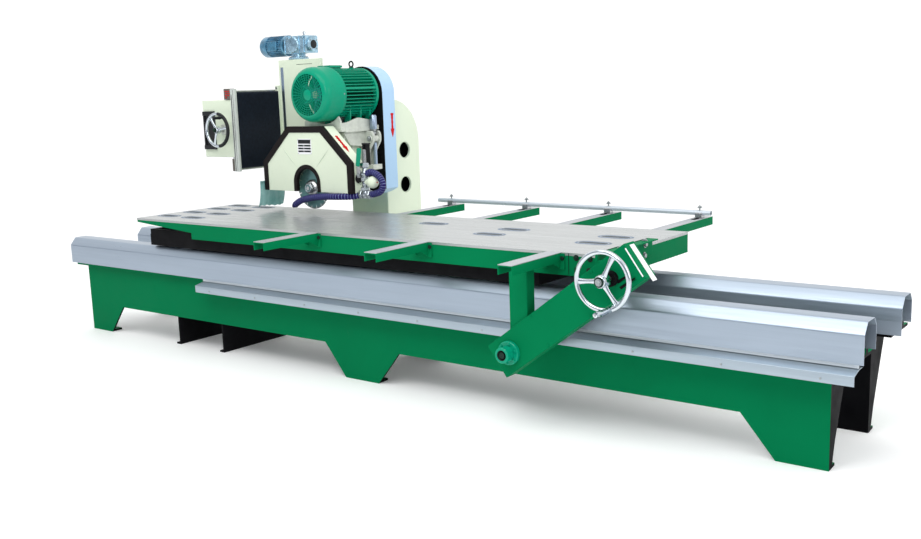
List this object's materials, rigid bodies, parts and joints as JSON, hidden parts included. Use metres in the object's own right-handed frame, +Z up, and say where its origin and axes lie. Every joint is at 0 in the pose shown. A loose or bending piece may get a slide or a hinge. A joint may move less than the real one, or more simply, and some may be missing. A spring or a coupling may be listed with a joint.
{
  "type": "slab saw",
  "caption": "bridge-type stone slab saw: rolling slotted table on two covered rail beds, lifting belt-driven saw head on an overarm beam, crank feeds and wet blade guard",
  "frame": {"origin": "middle of the footprint at floor level (bottom centre of the bounding box)", "axes": "+X along the beds to the operator's right, +Y from the operator's side to the stand, +Z up out of the table face"},
  "size_m": [5, 1.88, 1.858],
  "materials": {
    "front_bed_frame": "green",
    "rear_bed_frame": "green",
    "front_rail_cover": "stainless",
    "rear_rail_cover": "stainless",
    "rack_cover": "stainless",
    "feed_rack": "steel",
    "cross_member_1": "black",
    "cross_member_2": "black",
    "stand": "cream",
    "overarm_beam": "cream",
    "beam_end_panel": "cream",
    "cross_guide": "steel",
    "bellows_front": "rubber",
    "bellows_rear": "rubber",
    "cross_handwheel": "chrome",
    "cross_grip": "plastic",
    "saddle": "cream",
    "column": "cream",
    "lift_gearbox": "alu",
    "lift_motor": "blue",
    "lift_screw": "steel",
    "head_slide": "iron",
    "spindle_housing": "iron",
    "motor_base": "iron",
    "motor_frame": "green",
    "fan_cowl": "green",
    "belt_guard": "pale",
    "belt_guard_back": "black",
    "drive_belt": "rubber",
    "blade_guard": "cream",
    "splash_shield": "clear",
    "valve_body": "chrome",
    "loop_hose": "hose",
    "nozzle_hose": "hose",
    "spindle_shaft": "steel",
    "saw_blade": "steel",
    "blade_flange": "steel",
    "spindle_pulley": "iron",
    "motor_shaft": "iron",
    "cooling_fan": "plastic",
    "valve_lever": "green",
    "table_top": "steel",
    "table_frame": "green",
    "table_underframe": "black",
    "front_arm_1": "green",
    "front_arm_2": "green",
    "front_arm_3": "green",
    "case_brace": "green",
    "case_bracket": "green",
    "chain_case": "green",
    "drive_chain": "steel",
    "fence": "stainless",
    "wheel_front_left": "steel",
    "wheel_front_right": "steel",
    "wheel_rear_left": "steel",
    "wheel_rear_right": "steel",
    "pinion_shaft": "steel",
    "feed_handwheel": "chrome",
    "feed_grip": "chrome"
  },
  "bodies": {
    "base": {"front_bed_frame": "front_bed_frame", "rear_bed_frame": "rear_bed_frame", "front_rail_cover": "front_rail_cover", "rear_rail_cover": "rear_rail_cover", "rack_cover": "rack_cover", "feed_rack": "feed_rack", "cross_member_1": "cross_member_1", "cross_member_2": "cross_member_2", "stand": "stand", "overarm_beam": "overarm_beam", "beam_end_panel": "beam_end_panel", "cross_guide": "cross_guide", "bellows_front": "bellows_front", "bellows_rear": "bellows_rear"},
    "cross_wheel": {"cross_handwheel": "cross_handwheel"},
    "cross_wheel_grip": {"cross_grip": "cross_grip"},
    "carriage": {"saddle": "saddle", "column": "column", "lift_gearbox": "lift_gearbox", "lift_motor": "lift_motor"},
    "lift_screw": {"lift_screw": "lift_screw"},
    "head": {"head_slide": "head_slide", "spindle_housing": "spindle_housing", "motor_base": "motor_base", "motor_frame": "motor_frame", "fan_cowl": "fan_cowl", "belt_guard": "belt_guard", "belt_guard_back": "belt_guard_back", "drive_belt": "drive_belt", "blade_guard": "blade_guard", "splash_shield": "splash_shield", "valve_body": "valve_body", "loop_hose": "loop_hose", "nozzle_hose": "nozzle_hose"},
    "spindle": {"spindle_shaft": "spindle_shaft", "saw_blade": "saw_blade", "blade_flange": "blade_flange", "spindle_pulley": "spindle_pulley"},
    "rotor": {"motor_shaft": "motor_shaft", "cooling_fan": "cooling_fan"},
    "lever": {"valve_lever": "valve_lever"},
    "table": {"table_top": "table_top", "table_frame": "table_frame", "table_underframe": "table_underframe", "front_arm_1": "front_arm_1", "front_arm_2": "front_arm_2", "front_arm_3": "front_arm_3", "case_brace": "case_brace", "case_bracket": "case_bracket", "chain_case": "chain_case", "drive_chain": "drive_chain"},
    "fence": {"fence": "fence"},
    "wheel_front_left": {"wheel_front_left": "wheel_front_left"},
    "wheel_front_right": {"wheel_front_right": "wheel_front_right"},
    "wheel_rear_left": {"wheel_rear_left": "wheel_rear_left"},
    "wheel_rear_right": {"wheel_rear_right": "wheel_rear_right"},
    "pinion": {"pinion_shaft": "pinion_shaft"},
    "feed_wheel": {"feed_handwheel": "feed_handwheel"},
    "feed_wheel_grip": {"feed_grip": "feed_grip"}
  },
  "joints": [
    {"name": "table_travel", "type": "slide", "parent": "base", "child": "table", "axis": [1, 0, 0], "range_m": [-0.3, 0.9]},
    {"name": "roll_front_left", "type": "hinge", "parent": "table", "child": "wheel_front_left", "pos_m": [-1.3, -0.355, 0.5453], "axis": [0, 1, 0], "continuous": true},
    {"name": "roll_front_right", "type": "hinge", "parent": "table", "child": "wheel_front_right", "pos_m": [0.9, -0.355, 0.5453], "axis": [0, 1, 0], "continuous": true},
    {"name": "roll_rear_left", "type": "hinge", "parent": "table", "child": "wheel_rear_left", "pos_m": [-1.3, 0.156, 0.5453], "axis": [0, 1, 0], "continuous": true},
    {"name": "roll_rear_right", "type": "hinge", "parent": "table", "child": "wheel_rear_right", "pos_m": [0.9, 0.156, 0.5453], "axis": [0, 1, 0], "continuous": true},
    {"name": "pinion_spin", "type": "hinge", "parent": "table", "child": "pinion", "pos_m": [1.1, -0.67, 0.355], "axis": [0, 1, 0], "continuous": true},
    {"name": "feed_wheel_spin", "type": "hinge", "parent": "table", "child": "feed_wheel", "pos_m": [1.592, -0.82, 0.72], "axis": [0, 1, 0], "continuous": true},
    {"name": "feed_grip_spin", "type": "hinge", "parent": "feed_wheel", "child": "feed_wheel_grip", "pos_m": [1.62469, -0.89, 0.61079], "axis": [0, 1, 0], "continuous": true},
    {"name": "cross_wheel_spin", "type": "hinge", "parent": "base", "child": "cross_wheel", "pos_m": [-1.5, -0.082, 1.27], "axis": [0, 1, 0], "continuous": true},
    {"name": "cross_grip_spin", "type": "hinge", "parent": "cross_wheel", "child": "cross_wheel_grip", "pos_m": [-1.44033, -0.104, 1.3452], "axis": [0, 1, 0], "continuous": true},
    {"name": "cross_travel", "type": "slide", "parent": "base", "child": "carriage", "axis": [0, 1, 0], "range_m": [-0.2, 0.03], "deforming": ["bellows_front", "bellows_rear"]},
    {"name": "lift_screw_spin", "type": "hinge", "parent": "carriage", "child": "lift_screw", "pos_m": [-1.26, 0.4, 1.6], "axis": [0, 0, 1], "continuous": true},
    {"name": "head_lift", "type": "slide", "parent": "carriage", "child": "head", "axis": [0, 0, 1], "range_m": [-0.02, 0.2]},
    {"name": "motor_spin", "type": "hinge", "parent": "head", "child": "rotor", "pos_m": [-0.777, 0.23, 1.465], "axis": [0, 1, 0], "continuous": true},
    {"name": "spindle_spin", "type": "hinge", "parent": "head", "child": "spindle", "pos_m": [-0.828, 0.23, 0.925], "axis": [0, 1, 0], "continuous": true},
    {"name": "valve_turn", "type": "hinge", "parent": "head", "child": "lever", "pos_m": [-0.435, 0.01, 1.01], "axis": [0, 1, 0], "range_deg": [0, 90]},
    {"name": "fence_slide", "type": "slide", "parent": "table", "child": "fence", "axis": [0, 1, 0], "range_m": [-0.1, 0.05]}
  ],
  "couplings": [
    {"joint": "roll_front_left", "follows": "table_travel", "rad_per_m": 18.182},
    {"joint": "roll_front_right", "follows": "table_travel", "rad_per_m": 18.182},
    {"joint": "roll_rear_left", "follows": "table_travel", "rad_per_m": 18.182},
    {"joint": "roll_rear_right", "follows": "table_travel", "rad_per_m": 18.182},
    {"joint": "pinion_spin", "follows": "table_travel", "rad_per_m": -35.088},
    {"joint": "feed_wheel_spin", "follows": "table_travel", "rad_per_m": -35.088},
    {"joint": "cross_wheel_spin", "follows": "cross_travel", "rad_per_m": 628.32},
    {"joint": "lift_screw_spin", "follows": "head_lift", "rad_per_m": 628.32},
    {"joint": "spindle_spin", "follows": "motor_spin", "ratio": 1.4}
  ]
}
